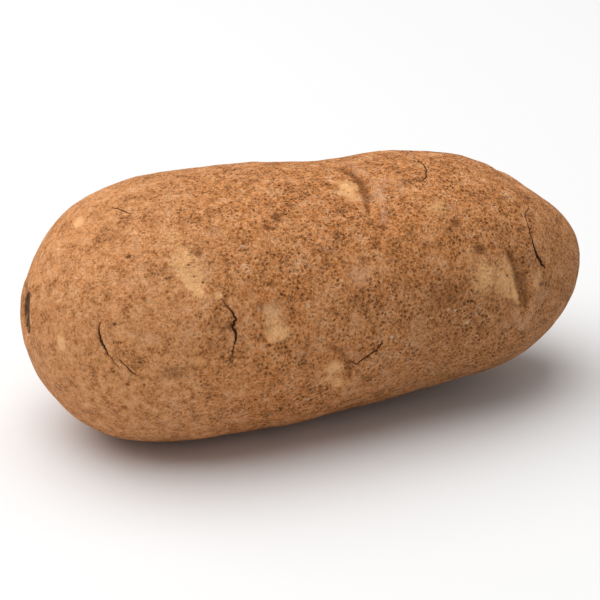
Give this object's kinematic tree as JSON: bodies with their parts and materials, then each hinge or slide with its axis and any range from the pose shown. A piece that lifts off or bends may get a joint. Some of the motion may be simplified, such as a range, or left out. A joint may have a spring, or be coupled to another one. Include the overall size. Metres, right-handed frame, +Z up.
{
  "type": "potato",
  "caption": "Long russet potato with dry netted tan skin, shallow brow-ridged eyes, a stem scar and a few growth cracks, lying on its side on a small flat spot.",
  "frame": {"origin": "on the ground under the middle of the potato's box", "axes": "+X along the length from the stem end to the bud end, +Z up from the flat spot it rests on, -Y the near side"},
  "size_m": [0.1416, 0.07, 0.0617],
  "materials": {
    "skin": "dry matte russet skin, warm tan with fine brown netting, roughness about 0.8"
  },
  "bodies": {
    "root": {"potato": "skin"}
  },
  "joints": []
}
